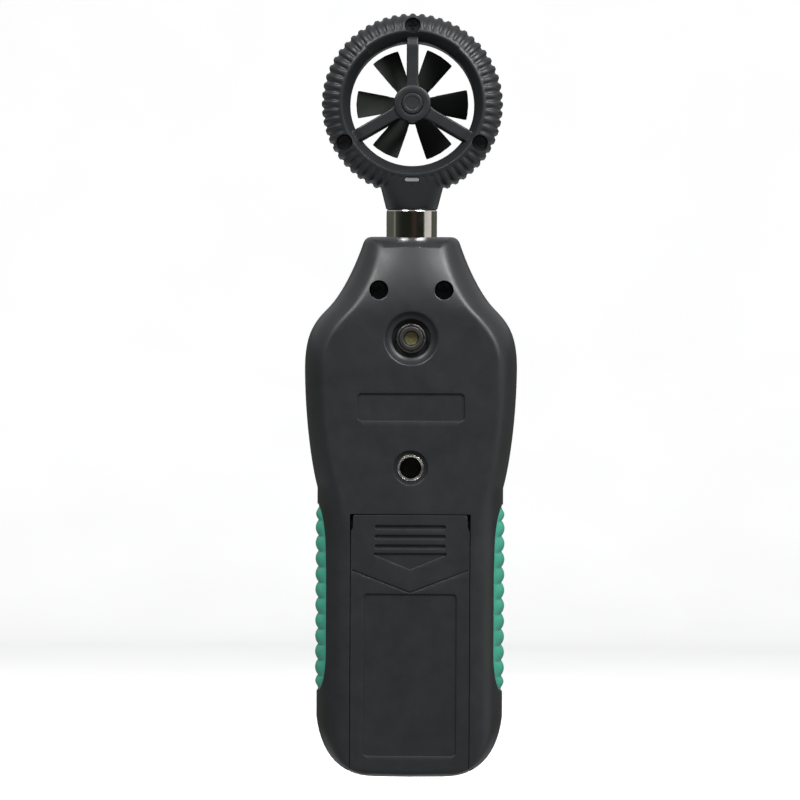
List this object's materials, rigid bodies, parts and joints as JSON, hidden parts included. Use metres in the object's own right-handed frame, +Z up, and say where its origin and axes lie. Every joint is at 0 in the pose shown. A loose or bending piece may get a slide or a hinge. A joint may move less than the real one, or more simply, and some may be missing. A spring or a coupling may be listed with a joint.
{
  "type": "vane anemometer",
  "caption": "Handheld vane anemometer: a meter body with display, keys, rubber grips and sliding battery door, and a fluted ring head with a free impeller on a plated swivel neck.",
  "frame": {"origin": "centre of the mouth of the tripod socket on the back of the meter body", "axes": "+Y out of the tripod socket, towards the back; +Z up the meter towards the vane head; the display faces -Y"},
  "size_m": [0.053, 0.0329, 0.1903],
  "materials": {
    "case_plastic": "fine-textured dark slate moulding",
    "grip_rubber": "satin sea green",
    "head_plastic": "fine-textured dark slate moulding",
    "impeller_plastic": "near black, slightly glossy",
    "key_rubber": "satin grey",
    "key_green": "satin sea green",
    "plated_tube": "polished plating",
    "bright_metal": "turned",
    "dark_steel": "blackened",
    "jack_metal": "turned, dull",
    "brass": "turned",
    "lens": "clear window",
    "lcd": "reflective display",
    "black_plastic": "moulded",
    "circuit_board": "solder mask",
    "silicone": "translucent grey",
    "conductive_rubber": "layered strip",
    "battery_case": "printed can, unmarked",
    "red_wire": "insulation",
    "grey_wire": "insulation",
    "foam": "open cell",
    "magnet": "ground",
    "sensor_grey": "light grey"
  },
  "bodies": {
    "meter_body": {"rear_cover": "case_plastic", "front_cover": "case_plastic", "grip_left": "grip_rubber", "grip_right": "grip_rubber", "display_lens": "lens", "lcd_panel": "lcd", "lcd_frame": "black_plastic", "lcd_elastomers": "conductive_rubber", "main_pcb": "circuit_board", "pcb_components": "black_plastic", "key_dome_mat": "silicone", "battery": "battery_case", "battery_terminals": "bright_metal", "battery_snap": "black_plastic", "battery_leads": "red_wire", "tripod_insert": "bright_metal", "jack_barrel": "jack_metal", "jack_nut": "jack_metal", "jack_body": "black_plastic", "jack_contact": "brass", "jack_leads": "red_wire", "case_screws": "dark_steel", "pcb_screws": "dark_steel", "neck_oring": "black_plastic", "sensor_lead": "grey_wire"},
    "battery_door": {"battery_door": "case_plastic", "battery_foam": "foam"},
    "vane_head": {"neck_tube": "plated_tube", "neck_clip": "dark_steel", "head_rear": "head_plastic", "head_front": "head_plastic", "head_screws": "dark_steel", "hub_caps": "head_plastic", "shaft_bearings": "brass", "sensor_board": "circuit_board", "temperature_sensor": "sensor_grey", "hall_sensor": "black_plastic", "pickup_wire": "grey_wire", "neck_cable": "grey_wire"},
    "impeller": {"impeller": "impeller_plastic", "impeller_shaft": "bright_metal", "hub_magnet": "magnet"},
    "key_power": {"key_power": "key_green"},
    "key_hold": {"key_hold": "key_rubber"},
    "key_max_min": {"key_max_min": "key_rubber"},
    "key_unit": {"key_unit": "key_rubber"},
    "key_temperature": {"key_temperature": "key_rubber"},
    "key_backlight": {"key_backlight": "key_rubber"}
  },
  "joints": [
    {"name": "head_swivel", "type": "hinge", "parent": "meter_body", "child": "vane_head", "pos_m": [0, -0.0152, 0.06], "axis": [0, 0, 1], "range_deg": [-90, 90]},
    {"name": "impeller_spin", "type": "hinge", "parent": "vane_head", "child": "impeller", "pos_m": [0, -0.0152, 0.0906], "axis": [0, 1, 0], "continuous": true},
    {"name": "battery_door_slide", "type": "slide", "parent": "meter_body", "child": "battery_door", "axis": [0, 0, -1], "range_m": [0, 0.062]},
    {"name": "key_power_press", "type": "slide", "parent": "meter_body", "child": "key_power", "axis": [0, 1, 0], "range_m": [0, 0.0008], "stiffness_N_per_m": 400, "springref_m": -0.0005},
    {"name": "key_hold_press", "type": "slide", "parent": "meter_body", "child": "key_hold", "axis": [0, 1, 0], "range_m": [0, 0.0008], "stiffness_N_per_m": 400, "springref_m": -0.0005},
    {"name": "key_max_min_press", "type": "slide", "parent": "meter_body", "child": "key_max_min", "axis": [0, 1, 0], "range_m": [0, 0.0008], "stiffness_N_per_m": 400, "springref_m": -0.0005},
    {"name": "key_unit_press", "type": "slide", "parent": "meter_body", "child": "key_unit", "axis": [0, 1, 0], "range_m": [0, 0.0008], "stiffness_N_per_m": 400, "springref_m": -0.0005},
    {"name": "key_temperature_press", "type": "slide", "parent": "meter_body", "child": "key_temperature", "axis": [0, 1, 0], "range_m": [0, 0.0008], "stiffness_N_per_m": 400, "springref_m": -0.0005},
    {"name": "key_backlight_press", "type": "slide", "parent": "meter_body", "child": "key_backlight", "axis": [0, 1, 0], "range_m": [0, 0.0008], "stiffness_N_per_m": 400, "springref_m": -0.0005}
  ]
}
